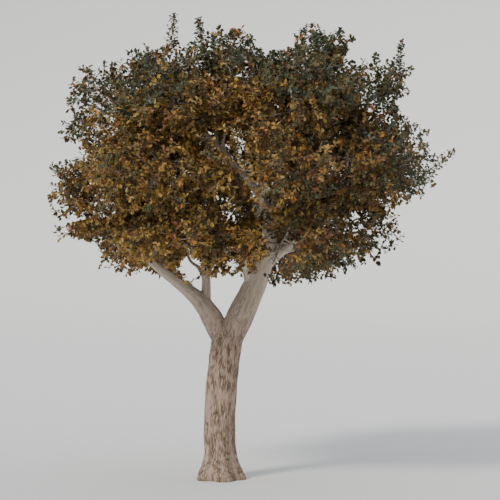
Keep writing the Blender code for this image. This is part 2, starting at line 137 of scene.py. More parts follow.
# The lines of the limbs. The trunk forks low in two limbs, four main boughs leave those, and one
# more bough grows to each mass that has none yet, by the shortest way with the least turn. Each
# is one long sweep with a slight waver, thick where it leaves and tapering to its tip.
GAP = 0.0003
TRUNK_DIAMETER = 0.79
TRUNK_LEAN = 0.12
TRUNK_BOW = 0.06
SHOULDER_HEIGHT = 3.35
FORK_HEIGHT = 3.45
LEFT_DIAMETER = 0.54
LEFT_RISE = 62.0
LEFT_LENGTH = 0.75
RIGHT_DIAMETER = 0.68
RIGHT_RISE = 64.0
RIGHT_LENGTH = 0.80
Limb = namedtuple("Limb", "parent place bearing rise bend lift carries base tip")
LIMBS = {
    "limb_left": Limb("trunk", 0.0, 180, LEFT_RISE, 0.34, 0.35, "leaves_low_1", LEFT_DIAMETER, 0.20),
    "limb_right": Limb("trunk", 0.0, 0, RIGHT_RISE, 0.60, -0.60, "leaves_top_1", RIGHT_DIAMETER, 0.12),
    "bough_upright": Limb("limb_left", 0.12, 60, 82, 0.60, 0.10, "leaves_high_1", 0.24, 0.09),
    "bough_right": Limb("limb_right", 0.21, 350, 44, 0.34, 0.35, "leaves_mid_4", 0.32, 0.11),
    "bough_front": Limb("limb_right", 0.12, 210, 64, 0.34, 0.35, "leaves_mid_3", 0.24, 0.10),
    "bough_back": Limb("limb_right", 0.33, 100, 55, 0.34, 0.35, "leaves_mid_6", 0.28, 0.10),
}
LIMB_STEP = 0.55
LIMB_FEWEST_STEPS = 4
LIMB_WAVER = 0.025
LIMB_TAPER = 2.0
LIMB_COLLAR = 0.04
BOUGH_BASE = 0.17
BOUGH_TIP = 0.08
BOUGH_SPACING = 0.30
BOUGH_SHORTEST = 1.6
BOUGH_PLACES = 20
BOUGH_FIRST_PLACE = 3
BOUGH_LAST_PLACE = 18
BOUGH_PULL = 1.4
BOUGH_TURN_COST = 1.2
BOUGH_BASE_TO_PARENT = 0.75
BOUGH_BEND = 0.34
BOUGH_LIFT = 0.35
BOUGH_CLEAR = 0.012
BOUGH_TEST_STEP = 0.10
ENTRY = 0.50
Ends = namedtuple("Ends", "start leaving end arriving bend base tip phase")
GrownLimb = namedtuple("GrownLimb", "points radii parent ends")


def heading(bearing, rise):
    """The direction with this bearing and this rise above the level, both in degrees."""
    flat = math.cos(math.radians(rise))
    turn = math.radians(bearing)
    return Vector((flat * math.cos(turn), flat * math.sin(turn), math.sin(math.radians(rise))))


def trunk_middle(height):
    """The middle of the trunk at a height: it bows a little left and then leans right."""
    share = height / SHOULDER_HEIGHT
    return Vector((TRUNK_LEAN * share * share - TRUNK_BOW * math.sin(math.pi * share), 0.0, height))


def fork_end(name):
    """Where the fork's own stub stops and the limb goes on."""
    limb = LIMBS[name]
    length = LEFT_LENGTH if name == "limb_left" else RIGHT_LENGTH
    return trunk_middle(FORK_HEIGHT) + heading(limb.bearing, limb.rise) * length


def limb_line(ends, step):
    """A limb's middle line and radii between its ends, with a point at about every step."""
    length = (ends.end - ends.start).length
    steps = max(LIMB_FEWEST_STEPS, round(length / step)) + 1
    pull = length * ends.bend
    first = ends.start + ends.leaving * LIMB_COLLAR
    last = ends.end - ends.arriving * LIMB_COLLAR
    handles = (first + ends.leaving * pull, last - ends.arriving * pull)
    sweep = interpolate_bezier(first, *handles, last, steps)
    sideways = (ends.end - ends.start).cross(Vector((0, 0, 1))).normalized()
    radii = [ends.base / 2]
    for number, point in enumerate(sweep):
        share = number / (steps - 1)
        waver = math.sin(2 * math.pi * share + ends.phase) * math.sin(math.pi * share) ** 2
        point += sideways * (waver * LIMB_WAVER * length)
        radii.append((ends.tip + (ends.base - ends.tip) * (1 - share) ** LIMB_TAPER) / 2)
    radii.append(ends.tip / 2)
    return [ends.start, *sweep, ends.end], radii


def limb_length(limb):
    """The length of a limb along its middle line."""
    return sum((b - a).length for a, b in zip(limb.points, limb.points[1:]))


def place_on(limb, share):
    """The middle, the direction and the radius of a limb at a share of its length."""
    ahead = share * limb_length(limb)
    for number, (a, b) in enumerate(zip(limb.points, limb.points[1:])):
        stretch = (b - a).length
        if ahead <= stretch or number == len(limb.points) - 2:
            break
        ahead -= stretch
    part = ahead / stretch
    radius = limb.radii[number] * (1 - part) + limb.radii[number + 1] * part
    return a.lerp(b, part), (b - a).normalized(), radius


def entry_of(mass, start, lift):
    """Where a limb that comes from start enters the mass, and the way it points there."""
    arriving = (mass.centre - start).normalized() + Vector((0, 0, lift))
    arriving.normalize()
    return mass.centre - arriving * (ENTRY * mass.half_height), arriving


def near_limb(grown, start, end, width):
    """Whether anything of this width between start and end would touch a limb."""
    steps = max(2, math.ceil((end - start).length / BOUGH_TEST_STEP))
    for number in range(steps + 1):
        point = start.lerp(end, number / steps)
        for limb in grown.values():
            for a, b, radius in zip(limb.points, limb.points[1:], limb.radii):
                spot, share = intersect_point_line(point, a, b)
                spot = a if share < 0 else b if share > 1 else spot
                if (point - spot).length < radius + width / 2 + BOUGH_CLEAR:
                    return True
    return False


def places_for(mass, grown, taken):
    """The places on the named limbs for the mass's bough: first those with a short, easy way."""
    places = []
    for name in LIMBS:
        length = limb_length(grown[name])
        for number in range(BOUGH_FIRST_PLACE, BOUGH_LAST_PLACE + 1):
            place = number / BOUGH_PLACES
            if any(abs(place - other) * length < BOUGH_SPACING for other in taken[name]):
                continue
            start, along, _ = place_on(grown[name], place)
            way = mass.centre - start
            if way.length < BOUGH_SHORTEST:
                continue
            turn = 1 - along.dot(way.normalized())
            cost = way.length * (1 + BOUGH_TURN_COST * turn)
            places.append((cost, name, place))
    return [(name, place) for _, name, place in sorted(places)]


def bough_from(parent, place, mass, grown):
    """The bough that leaves its parent at this place for the mass."""
    start, along, radius = place_on(grown[parent], place)
    tip, arriving = entry_of(mass, start, BOUGH_LIFT)
    leaving = (along + (tip - start).normalized() * BOUGH_PULL).normalized()
    base = min(BOUGH_BASE, 2 * radius * BOUGH_BASE_TO_PARENT)
    ends = Ends(start, leaving, tip, arriving, BOUGH_BEND, base, BOUGH_TIP, len(grown))
    return GrownLimb(*limb_line(ends, LIMB_STEP), parent, ends)


def is_free(bough, grown):
    """Whether a bough keeps clear of every limb but its parent."""
    others = {name: limb for name, limb in grown.items() if limb is not grown[bough.parent]}
    stretches = zip(bough.points, bough.points[1:], bough.radii)
    return not any(near_limb(others, a, b, 2 * radius) for a, b, radius in stretches)


def grow_limbs():
    """The named limbs, then one bough to each mass that has none, by the easiest way to it."""
    grown = {}
    carried_by = {}
    taken = {name: [] for name in LIMBS}
    for number, (name, limb) in enumerate(LIMBS.items()):
        leaving = heading(limb.bearing, limb.rise)
        if limb.parent == "trunk":
            start = fork_end(name) + leaving * GAP
        else:
            start, _, _ = place_on(grown[limb.parent], limb.place)
            taken[limb.parent].append(limb.place)
        tip, arriving = entry_of(masses[limb.carries], start, limb.lift)
        ends = Ends(start, leaving, tip, arriving, limb.bend, limb.base, limb.tip, number)
        grown[name] = GrownLimb(*limb_line(ends, LIMB_STEP), limb.parent, ends)
        carried_by[limb.carries] = name
    for mass in masses.values():
        if mass.name not in carried_by:
            name = mass.name.replace("leaves", "bough")
            for parent, place in places_for(mass, grown, taken):
                bough = bough_from(parent, place, mass, grown)
                if is_free(bough, grown):
                    break
            taken[parent].append(place)
            grown[name] = bough
            carried_by[mass.name] = name
    return grown, carried_by


limbs, carrier = grow_limbs()


# The trunk, its fork and the main limbs. Living oak: a stout bole with a flared, ribbed foot, and
# limbs that grew with it, so one skin runs over all of them with full collars at the forks. The
# bark is thick and pale grey-brown, split by long dark fissures that part and join again.
FOOT_DIAMETER = 1.16
FLARE_HEIGHT = 0.40
ROOT_RIDGES = 5
ROOT_RIDGE_DEPTH = 0.09
ROOT_RIDGE_HEIGHT = 0.45
ROOT_RIDGE_TURN = 0.6
SHOULDER_DEPTH = 0.80
TRUNK_TOP = 4.08
TRUNK_RINGS = 60
TRUNK_SIDES = 80
SKIN_STEP = 0.12
LIMB_SIDES = 28
LIMB_SKIN = 0.0205
COLLAR_SWELL = 0.30
COLLAR_LENGTH = 0.22
SKIN_SMOOTHING = 4
NEAREST_STATIONS = 6
FISSURE_DEPTH = 0.018
FULL_BARK_RADIUS = 0.36
FISSURE_SHARE = 0.45
RIDGE_TURNS = 17.0
RIDGE_STRETCH = 0.17
RIDGE_BROAD = 2.0
RIDGE_FINE = 0.9
RIDGE_FINENESS = 2.3
RIDGE_ASIDE = Vector((5, 9, 2))
LUMP_SIZE = 0.45
LUMP_DEPTH = 0.018
FOOT_CUT = 0.012
Station = namedtuple("Station", "place along side arc radius")


def trunk_radius(height, turn):
    """The trunk's radius, wider at the flare, ridged over the roots and closing at the shoulder."""
    flare = (FOOT_DIAMETER - TRUNK_DIAMETER) / 2 * math.exp(-((height / FLARE_HEIGHT) ** 2))
    ridge = ROOT_RIDGE_DEPTH * math.exp(-height / ROOT_RIDGE_HEIGHT)
    radius = TRUNK_DIAMETER / 2 + flare + ridge * math.cos(ROOT_RIDGES * turn + ROOT_RIDGE_TURN)
    above = max(0.0, height - SHOULDER_HEIGHT) / SHOULDER_DEPTH
    return radius * math.sqrt(1.0 - above * above)


def add_tube(shape, points, radii, sides):
    """A closed tube along the points: a ring at each, bridged to the last one, and filled ends."""
    last = len(points) - 1
    ring_before = []
    for number, (point, radius) in enumerate(zip(points, radii)):
        way = points[min(number + 1, last)] - points[max(number - 1, 0)]
        turned = Matrix.Translation(point) @ way.to_track_quat("Z", "Y").to_matrix().to_4x4()
        verts = bmesh.ops.create_circle(
            shape,
            cap_ends=number in (0, last),
            segments=sides,
            radius=radius,
            matrix=turned,
        )["verts"]
        ring = list({edge for vert in verts for edge in vert.link_edges})
        if ring_before:
            bmesh.ops.bridge_loops(shape, edges=ring_before + ring)
        ring_before = ring


def add_bole(shape):
    """The trunk from its flat foot to its shoulder, drawn up ring by ring."""
    heights = [TRUNK_TOP * number / TRUNK_RINGS for number in range(TRUNK_RINGS + 1)]
    middles = [Vector((0, 0, height)) for height in heights]
    before = len(shape.verts)
    add_tube(shape, middles, [1.0] * len(middles), TRUNK_SIDES)
    shape.verts.ensure_lookup_table()
    for vert in shape.verts[before:]:
        height = vert.co.z
        turn = math.atan2(vert.co.y, vert.co.x)
        radius = trunk_radius(height, turn)
        outwards = Vector((radius * math.cos(turn), radius * math.sin(turn), 0))
        vert.co = trunk_middle(height) + outwards


def swollen(points, radii, start):
    """The radii of a limb with its collar: fuller near the place where it leaves its parent."""
    swell = [COLLAR_SWELL * math.exp(-(point - start).length / COLLAR_LENGTH) for point in points]
    return [radius * (1 + more) for radius, more in zip(radii, swell)]


def stations_along(points, radii):
    """Places along a limb, each with a frame that turns as little as it can from the last one."""
    stations = []
    along = (points[1] - points[0]).normalized()
    side = along.orthogonal().normalized()
    arc = 0.0
    for number, point in enumerate(points):
        if number:
            along = (point - points[number - 1]).normalized()
            arc += (point - points[number - 1]).length
        side = (side - along * side.dot(along)).normalized()
        stations.append(Station(point, along, side, arc, radii[number]))
    return stations


def new_object(name, data):
    """A new object in the scene."""
    made = bpy.data.objects.new(name, data)
    bpy.context.scene.collection.objects.link(made)
    return made


def skin_over(name, shape, voxel):
    """One smooth closed skin over tubes that run into each other."""
    bmesh.ops.recalc_face_normals(shape, faces=shape.faces)
    mesh = bpy.data.meshes.new(name)
    shape.to_mesh(mesh)
    shape.free()
    rough = new_object(name, mesh)
    remesh = rough.modifiers.new("skin", "REMESH")
    remesh.mode = "VOXEL"
    remesh.voxel_size = voxel
    smooth = rough.modifiers.new("collars", "SMOOTH")
    smooth.iterations = SKIN_SMOOTHING
    graph = bpy.context.evaluated_depsgraph_get()
    skin = bpy.data.meshes.new_from_object(rough.evaluated_get(graph))
    bpy.data.objects.remove(rough)
    skin.name = name
    return skin


def ridges(grain):
    """The height of the bark at a place on its grain, from 0 in a fissure to 1 on a ridge."""
    long_way = Vector((grain.x, grain.y, grain.z * RIDGE_STRETCH)) * RIDGE_TURNS
    broad = abs(noise.noise(long_way))
    fine = abs(noise.noise(long_way * RIDGE_FINENESS + RIDGE_ASIDE))
    return min(1.0, RIDGE_BROAD * broad + RIDGE_FINE * fine)


def raise_bark(mesh, stations):
    """Cuts the fissures into a skin and stores on it where each point lies along the grain."""
    tree = kdtree.KDTree(len(stations))
    for number, station in enumerate(stations):
        tree.insert(station.place, number)
    tree.balance()
    grains = []
    places = []
    for place, normal in [(vert.co.copy(), vert.normal.copy()) for vert in mesh.vertices]:
        near = tree.find_n(place, NEAREST_STATIONS)
        number = min(near, key=lambda each: each[2] / stations[each[1]].radius)[1]
        station = stations[number]
        way = place - station.place
        across = station.along.cross(station.side)
        along = station.arc + way.dot(station.along)
        grain = Vector((way.dot(station.side), way.dot(across), along))
        stoutness = station.radius / FULL_BARK_RADIUS
        depth = FISSURE_DEPTH * math.sqrt(stoutness)
        lump = LUMP_DEPTH * noise.noise(place / LUMP_SIZE) * min(1.0, stoutness)
        raised = place + normal * (lump + depth * (ridges(grain) - FISSURE_SHARE))
        if raised.z < FOOT_CUT:
            raised.z = 0.0
        grains.append(grain)
        places.append(raised)
    mesh.vertices.foreach_set("co", np.array(places, np.float32).ravel())
    mesh.update()
    attribute = mesh.attributes.new("grain", "FLOAT_VECTOR", "POINT")
    attribute.data.foreach_set("vector", np.array(grains, np.float32).ravel())


class Wire:
    """A socket in a finish. Sums, differences and products of wires add their Math nodes."""

    def __init__(self, socket):
        self.socket = socket

    def node(self, kind, settings, sockets, output=0):
        """A new node's output, from its settings and its sockets' values or links."""
        tree = self.socket.id_data
        made = tree.nodes.new(kind)
        for name, value in settings.items():
            if name == "stops":
                for place, colour in value[2:]:
                    made.color_ramp.elements.new(place)
                for stop, (place, colour) in zip(made.color_ramp.elements, value):
                    stop.position = place
                    stop.color = (*colour, 1.0)
            else:
                setattr(made, name, value)
        for name, value in sockets.items():
            if isinstance(value, Wire):
                tree.links.new(value.socket, made.inputs[name])
            else:
                made.inputs[name].default_value = value
        return Wire(made.outputs[output])

    def into(self, socket):
        """Joins this wire to a socket of another node."""
        self.socket.id_data.links.new(self.socket, socket)

    def __add__(self, other):
        return self.node("ShaderNodeMath", {"operation": "ADD"}, {0: self, 1: other})

    def __mul__(self, other):
        return self.node("ShaderNodeMath", {"operation": "MULTIPLY"}, {0: self, 1: other})

    def __rmul__(self, other):
        return self * other

    def __rsub__(self, other):
        return self.node("ShaderNodeMath", {"operation": "SUBTRACT"}, {0: other, 1: self})


def new_finish(name):
    """A material with its surface shader."""
    material = bpy.data.materials.new(name)
    material.use_nodes = True
    return material, material.node_tree.nodes["Principled BSDF"]


BARK_FISSURE = (0.095, 0.062, 0.040)
BARK_BROWN = (0.235, 0.165, 0.110)
BARK_GREY = (0.36, 0.285, 0.200)
BARK_PALE = (0.50, 0.405, 0.305)
BARK_PINK = (0.50, 0.335, 0.285)
# Paler bark higher up the limbs: partly younger bark, partly painted highlight where the crown's
# leaves shade the limbs.
BARK_YOUNG_HIGHLIGHT = (0.84, 0.715, 0.575)
YOUNG_HIGHLIGHT_FROM = 3.4
YOUNG_HIGHLIGHT_FULL = 5.8
YOUNG_HIGHLIGHT_SHARE = 0.68
PLATE_SCALE = 24.0
PLATE_RANDOMNESS = 0.9
GRAIN_BROAD = (20.0, 4.0)
GRAIN_FINE = (70.0, 5.0)
GRAIN_STREAKS = (9.0, 2.0)
CRUST_PATCHES = (4.5, 3.0)
CRUST_SPECKS = (24.0, 2.0)
PLATE_PART = 0.55
BROAD_PART = 0.30
FINE_PART = 0.25
PINK_SHARE = 0.6
CRUST_SHARE = 0.35
SPECK_SHARE = 0.7
BUMP_STRENGTH = 0.9
BUMP_DISTANCE = 0.02
BARK_SHINE = 0.25
NONE = (0, 0, 0)
ALL = (1, 1, 1)


def clouds(place, scale, detail):
    """Soft noise over these coordinates."""
    return place.node("ShaderNodeTexNoise", {}, {"Vector": place, "Scale": scale, "Detail": detail})


def ramp(value, *stops):
    """The colours of these stops, by the value."""
    return value.node("ShaderNodeValToRGB", {"stops": stops}, {0: value})


def laid_over(below, colour, share):
    """A plain colour laid over what is below it, by the share."""
    sockets = {0: share, 6: below, 7: (*colour, 1)}
    return below.node("ShaderNodeMix", {"data_type": "RGBA"}, sockets, 2)


def bark_finish():
    """Oak bark: pale plates along the grain, darker fissures between, dry crusts, and paler bark up
    the limbs: younger bark and painted highlight.
    """
    material, shader = new_finish("oak_bark")
    start = Wire(shader.inputs["Base Color"])
    grain = start.node("ShaderNodeAttribute", {"attribute_name": "grain"}, {}, "Vector")
    place = start.node("ShaderNodeTexCoord", {}, {}, "Object")
    drawn = {0: grain, 1: (1.0, 1.0, RIDGE_STRETCH)}
    along = grain.node("ShaderNodeVectorMath", {"operation": "MULTIPLY"}, drawn)
    plate_sockets = {"Vector": along, "Scale": PLATE_SCALE, "Randomness": PLATE_RANDOMNESS}
    plates = along.node("ShaderNodeTexVoronoi", {"feature": "DISTANCE_TO_EDGE"}, plate_sockets)
    height = PLATE_PART * plates + BROAD_PART * clouds(along, *GRAIN_BROAD)
    height = height + FINE_PART * clouds(along, *GRAIN_FINE)
    worn = ((0.30, BARK_FISSURE), (0.36, BARK_BROWN), (0.45, BARK_GREY), (0.62, BARK_PALE))
    colour = ramp(height, *worn)
    pinker = PINK_SHARE * ramp(clouds(along, *GRAIN_STREAKS), (0.46, NONE), (0.62, ALL))
    colour = laid_over(colour, BARK_PINK, pinker)
    crusted = CRUST_SHARE * ramp(clouds(place, *CRUST_PATCHES), (0.52, NONE), (0.68, ALL))
    colour = laid_over(colour, BARK_PALE, crusted)
    specked = SPECK_SHARE * ramp(clouds(place, *CRUST_SPECKS), (0.30, ALL), (0.40, NONE))
    colour = laid_over(colour, BARK_BROWN, specked)
    above_ground = place.node("ShaderNodeSeparateXYZ", {}, {0: place}, "Z")
    # Up the limbs the bark turns paler: younger bark, with painted highlight laid over where the
    # leaves shade them.
    rising = {0: above_ground, 1: YOUNG_HIGHLIGHT_FROM, 2: YOUNG_HIGHLIGHT_FULL, 3: 0.0, 4: YOUNG_HIGHLIGHT_SHARE}
    young_highlight = place.node("ShaderNodeMapRange", {}, rising)
    laid_over(colour, BARK_YOUNG_HIGHLIGHT, young_highlight).into(shader.inputs["Base Color"])
    lift = {"Height": height, "Strength": BUMP_STRENGTH, "Distance": BUMP_DISTANCE}
    height.node("ShaderNodeBump", {}, lift).into(shader.inputs["Normal"])
    (1.0 - BARK_SHINE * height).into(shader.inputs["Roughness"])
    return material


oak_bark = bark_finish()


def bark_piece(mesh, nodes):
    """A skin of bark in the scene, in the place of the plain solids it stands for."""
    mesh.materials.clear()
    mesh.materials.append(oak_bark)
    mesh.shade_smooth()
    piece = new_object(mesh.name, mesh)
    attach(piece, "root")
    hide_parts(*nodes)


def limb_skin_line(name):
    """The finely drawn line and radii of a limb, from inside its parent to its tip."""
    limb = limbs[name]
    points, radii = limb_line(limb.ends, SKIN_STEP)
    if limb.parent == "trunk":
        points.insert(0, trunk_middle(FORK_HEIGHT))
        radii.insert(0, radii[0])
        return points, radii
    return points, swollen(points, radii, points[0])


framework = bmesh.new()
add_bole(framework)
trunk_line = [trunk_middle(SKIN_STEP * number) for number in range(round(TRUNK_TOP / SKIN_STEP))]
framework_stations = stations_along(trunk_line, [TRUNK_DIAMETER / 2] * len(trunk_line))
for name in LIMBS:
    line, radii = limb_skin_line(name)
    add_tube(framework, line, radii, LIMB_SIDES)
    framework_stations += stations_along(line, radii)
framework_skin = skin_over("trunk_and_limbs", framework, LIMB_SKIN)
raise_bark(framework_skin, framework_stations)
bark_piece(framework_skin, ["trunk", *LIMBS])


# The lesser boughs, one to each other mass of leaves. The same wood and bark, younger: thinner, with
# shallower fissures. Each rises out of its limb in a swollen collar and tapers to where the leaves
# begin.
BOUGH_SIDES = 16
BOUGH_SKIN = 0.018

lesser = [name for name in limbs if name not in LIMBS]
boughs = bmesh.new()
bough_stations = []
for name in lesser:
    line, radii = limb_skin_line(name)
    add_tube(boughs, line, radii, BOUGH_SIDES)
    bough_stations += stations_along(line, radii)
bough_skin = skin_over("boughs", boughs, BOUGH_SKIN)
raise_bark(bough_skin, bough_stations)
bark_piece(bough_skin, lesser)


# Twigs. Every limb and bough runs out in a stem with a few strong twigs, and those in finer and
# finer ones that reach for the skin of their own space. They are brown-grey and thin-barked.
SEED = 12
GOLDEN_TURN = math.pi * (3 - math.sqrt(5))
TWIGS = 6
TWIG_REACH = 0.66
TWIG_ROOTS = (0.25, 0.90)
TWIG_CUTS = (1.0, 0.8, 0.6)
TWIG_SHORTEST = 0.45
STEM_REACH = 1.25
STEM_DIAMETER = 0.076
TWIG_DIAMETER = 0.056
TWIG_TIP = 0.032
LIMB_CLEAR = 0.012
TEST_STEP = 0.10
BRANCHLETS = 122
BRANCHLET_DEPTHS = (0.32, 1.0)
BRANCHLET_ROOTS = (0.35, 0.98)
BRANCHLET_LONGEST = 1.20
BRANCHLET_SHORTEST = 0.22
BRANCHLET_CUT = 0.06
BRANCHLET_DIAMETER = 0.016
THIN_TRIES = 260
THIN_DEPTHS = (0.15, 1.0)
THIN_APART = 0.40
SIDE_TWIGS = 6
SIDE_TWIG_PLACES = (0.22, 0.95)
SIDE_TWIG_SPREAD = 52.0
SIDE_TWIG_LENGTH = 0.34
SIDE_TWIG_TAPER = 0.35
SIDE_TWIG_VARIES = (0.8, 1.15)
SIDE_TWIG_CUTS = (1.0, 0.65, 0.35)
SIDE_TWIG_LIFT = 0.15
SIDE_TWIG_DIAMETER = 0.007
STRONG_TWIG_SIDES = 6
FINE_TWIG_SIDES = 3
ASKEW = (0.31, 0.64, 0.70)
BOX_CLEAR = 0.01
Shoot = namedtuple("Shoot", "tip bearing rise length spray")
SHOOTS = {
    "leaves_top_1": Shoot((-1.21, 0.0, 12.0), 0, 86, 1.10, 0.52),
    "leaves_top_2": Shoot((-0.54, -0.9, 11.7), 180, 84, 0.80, 0.38),
    "leaves_high_4": Shoot((4.62, 0.0, 11.3), 0, 88, 1.15, 0.36),
    "leaves_mid_4": Shoot((5.94, -0.9, 8.4), 5, 36, 1.40, 0.60),
}
SHOOT_SPREAD = 34.0
SHOOT_HIGHEST = 0.25
SHOOT_TWIGS = 22
SHOOT_SLIMNESS = 0.72
SHOOT_PLACES = (0.0, 0.93)
TAIL_FROM = 0.6
Twig = namedtuple("Twig", "start end base tip")

# Over the fork the crown hangs a little lower in front: places for a few more branchlets.
HANGING = [Vector((0.10 + 0.15 * step, -2.1, 5.36)) for step in range(-2, 3)]

# Where the crown is open or thin, seen from in front: the middle, the reach to either side, the
# reach up and down, and the share of the leaves and twigs that grow there.
Opening = namedtuple("Opening", "x z across upwards keeps")
OPENINGS = {
    "window over the left limb": Opening(-0.80, 5.45, 0.27, 0.33, 0.0),
    "air under the left limb": Opening(-1.62, 4.93, 0.45, 0.31, 0.0),
    "notch in the left side": Opening(-4.45, 8.42, 0.85, 0.34, 0.0),
    "upper left corner": Opening(-4.40, 9.50, 0.45, 0.55, 0.0),
    "lower left corner": Opening(-3.75, 5.75, 0.70, 0.45, 0.0),
    "dip in the top": Opening(1.35, 11.30, 0.55, 0.30, 0.0),
    "dip in the right side": Opening(4.95, 9.62, 0.42, 0.34, 0.0),
    "thin upper left": Opening(-3.40, 9.40, 0.80, 0.90, 0.75),
    "thin top": Opening(0.10, 10.80, 1.60, 0.55, 0.75),
    "thin right": Opening(5.00, 8.30, 0.70, 0.60, 0.75),
    "thin lower right": Opening(3.60, 6.25, 0.90, 0.70, 0.72),
}
VIEWED_FROM = (0.745, -42.0, 5.885)
VIEW_SHARES = (0.5, 0.75, 1.0)

# The limbs that show through the leaves from in front, between two shares of their length, and
# the share of the leaves that grow before them all the same.
OPEN_LIMBS = {
    "limb_left": (0.43, 0.80),
    "limb_right": (0.43, 0.88),
    "bough_right": (0.0, 0.4),
}
OPEN_WIDTH = 0.05
OPEN_DEPTH = 3.6
OPEN_KEEPS = 0.07

bark_starts = np.array([point for limb in limbs.values() for point in limb.points[:-1]])
bark_ends = np.array([point for limb in limbs.values() for point in limb.points[1:]])
bark_radii = np.array([radius for limb in limbs.values() for radius in limb.radii[:-1]])


def clear_of_bark(points):
    """How far each point lies outside the bark of the nearest limb."""
    stretches = bark_ends - bark_starts
    ways = points[:, None, :] - bark_starts
    along = (ways * stretches).sum(axis=2) / (stretches**2).sum(axis=1)
    off = ways - np.clip(along, 0.0, 1.0)[:, :, None] * stretches
    return (np.linalg.norm(off, axis=2) - bark_radii).min(axis=1)


def box_holds(points):
    """Which of the points lie well inside the box round the plain solids."""
    low, high = (np.array(corner) for corner in solid_box)
    return ((points > low + BOX_CLEAR) & (points < high - BOX_CLEAR)).all(axis=-1)


def grows_here(points, draws):
    """Which of the points the crown's openings let grow, by the draws from 0 to 1 for them."""
    view_x, view_y, view_z = VIEWED_FROM
    nearness = view_y / (view_y - points[:, 1])
    across = view_x + (points[:, 0] - view_x) * nearness
    upwards = view_z + (points[:, 2] - view_z) * nearness
    grows = np.ones(len(points), bool)
    for opening in OPENINGS.values():
        aside = (across - opening.x) / opening.across
        above = (upwards - opening.z) / opening.upwards
        grows &= (aside**2 + above**2 > 1) | (draws < opening.keeps)
    return grows


def before_open_limbs(points):
    """Which of the points lie in front of the limbs that show through the crown."""
    hides = np.zeros(len(points), bool)
    for name, (first, last) in OPEN_LIMBS.items():
        limb = limbs[name]
        count = len(limb.points)
        shown = range(round(first * count), round(last * count) - 1)
        for start, end, radius in ((*limb.points[n : n + 2], limb.radii[n]) for n in shown):
            way = np.array(end - start)
            off = points - np.array(start)
            along = (off[:, [0, 2]] @ way[[0, 2]]) / (way[[0, 2]] @ way[[0, 2]])
            aside = off - along[:, None] * way
            beside = np.linalg.norm(aside[:, [0, 2]], axis=1) < radius + OPEN_WIDTH
            ahead = (aside[:, 1] < 0) & (aside[:, 1] > -OPEN_DEPTH)
            hides |= beside & ahead & (along > 0) & (along < 1)
    return hides


def in_view(twigs):
    """The twigs that grow through no fully open place and hide none of the limbs that show."""
    kept = []
    for twig in twigs:
        along = np.array([twig.start.lerp(twig.end, share) for share in VIEW_SHARES])
        if grows_here(along, np.zeros(len(along))).all() and not before_open_limbs(along).any():
            kept.append(twig)
    return kept


def way_is_free(mass, start, end, width):
    """Whether a twig of this width ends in the mass's space and touches no limb on its way."""
    steps = max(2, math.ceil((end - start).length / TEST_STEP))
    points = np.array([start.lerp(end, number / steps) for number in range(steps + 1)])
    if not space_holds(mass, points[-1:])[0]:
        return False
    return bool((clear_of_bark(points) > width / 2 + LIMB_CLEAR).all())


def evenly_round(count, turn):
    """Directions dealt evenly over a sphere, on a spiral."""
    directions = []
    for number in range(count):
        height = 1 - 2 * (number + 0.5) / count
        flat = math.sqrt(1 - height * height)
        angle = turn + GOLDEN_TURN * number
        directions.append(Vector((flat * math.cos(angle), flat * math.sin(angle), height)))
    return directions


def grow_strong_twigs(mass, limb, chance):
    """The mass's stem from its limb's tip, and twigs off it towards places round its space."""
    arriving = (limb.points[-1] - limb.points[-2]).normalized()
    start = limb.points[-1] + arriving * GAP
    stem_end = start + arriving * ((mass.centre - start).length * STEM_REACH)
    twigs = [Twig(start, stem_end, STEM_DIAMETER, TWIG_TIP)]
    outwards = (mass.centre - CROWN_HEART).normalized()
    for direction in [outwards, *evenly_round(TWIGS - 1, chance.uniform(0, 2 * math.pi))]:
        root = start.lerp(stem_end, chance.uniform(*TWIG_ROOTS))
        aim = on_skin(mass, direction, TWIG_REACH)
        for cut in TWIG_CUTS:
            end = root.lerp(aim, cut)
            free = way_is_free(mass, root, end, TWIG_DIAMETER)
            if free and (end - root).length > TWIG_SHORTEST:
                twigs.append(Twig(root, end, TWIG_DIAMETER, TWIG_TIP))
                break
    return twigs


def branchlet_to(aim, mass, twigs, chance):
    """A branchlet from the nearest strong twig as far towards the aim as its way is free."""
    twig = min(twigs, key=lambda each: (each.end - aim).length)
    root = twig.start.lerp(twig.end, chance.uniform(*BRANCHLET_ROOTS))
    way = (aim - root).normalized()
    length = min(BRANCHLET_LONGEST, (aim - root).length)
    while length > BRANCHLET_SHORTEST:
        end = root + way * length
        if box_holds(np.array(end)) and way_is_free(mass, root, end, BRANCHLET_DIAMETER):
            return [Twig(root, end, BRANCHLET_DIAMETER, SIDE_TWIG_DIAMETER)]
        length -= BRANCHLET_CUT
    return []


def grow_branchlets(mass, twigs, chance):
    """Branchlets to places dealt through the space, then to thin places and over the fork."""
    branchlets = []
    for direction in evenly_round(BRANCHLETS, chance.uniform(0, 2 * math.pi)):
        aim = on_skin(mass, direction, math.sqrt(chance.uniform(*BRANCHLET_DEPTHS)))
        branchlets += branchlet_to(aim, mass, twigs, chance)
    for direction in evenly_round(THIN_TRIES, chance.uniform(0, 2 * math.pi)):
        aim = on_skin(mass, direction, chance.uniform(*THIN_DEPTHS) ** (1 / 3))
        if space_holds(mass, np.array([aim]))[0]:
            if all((each.end - aim).length > THIN_APART for each in branchlets):
                branchlets += branchlet_to(aim, mass, twigs, chance)
    for aim in HANGING:
        if space_holds(mass, np.array([aim]))[0]:
            branchlets += branchlet_to(aim, mass, twigs, chance)
    return branchlets


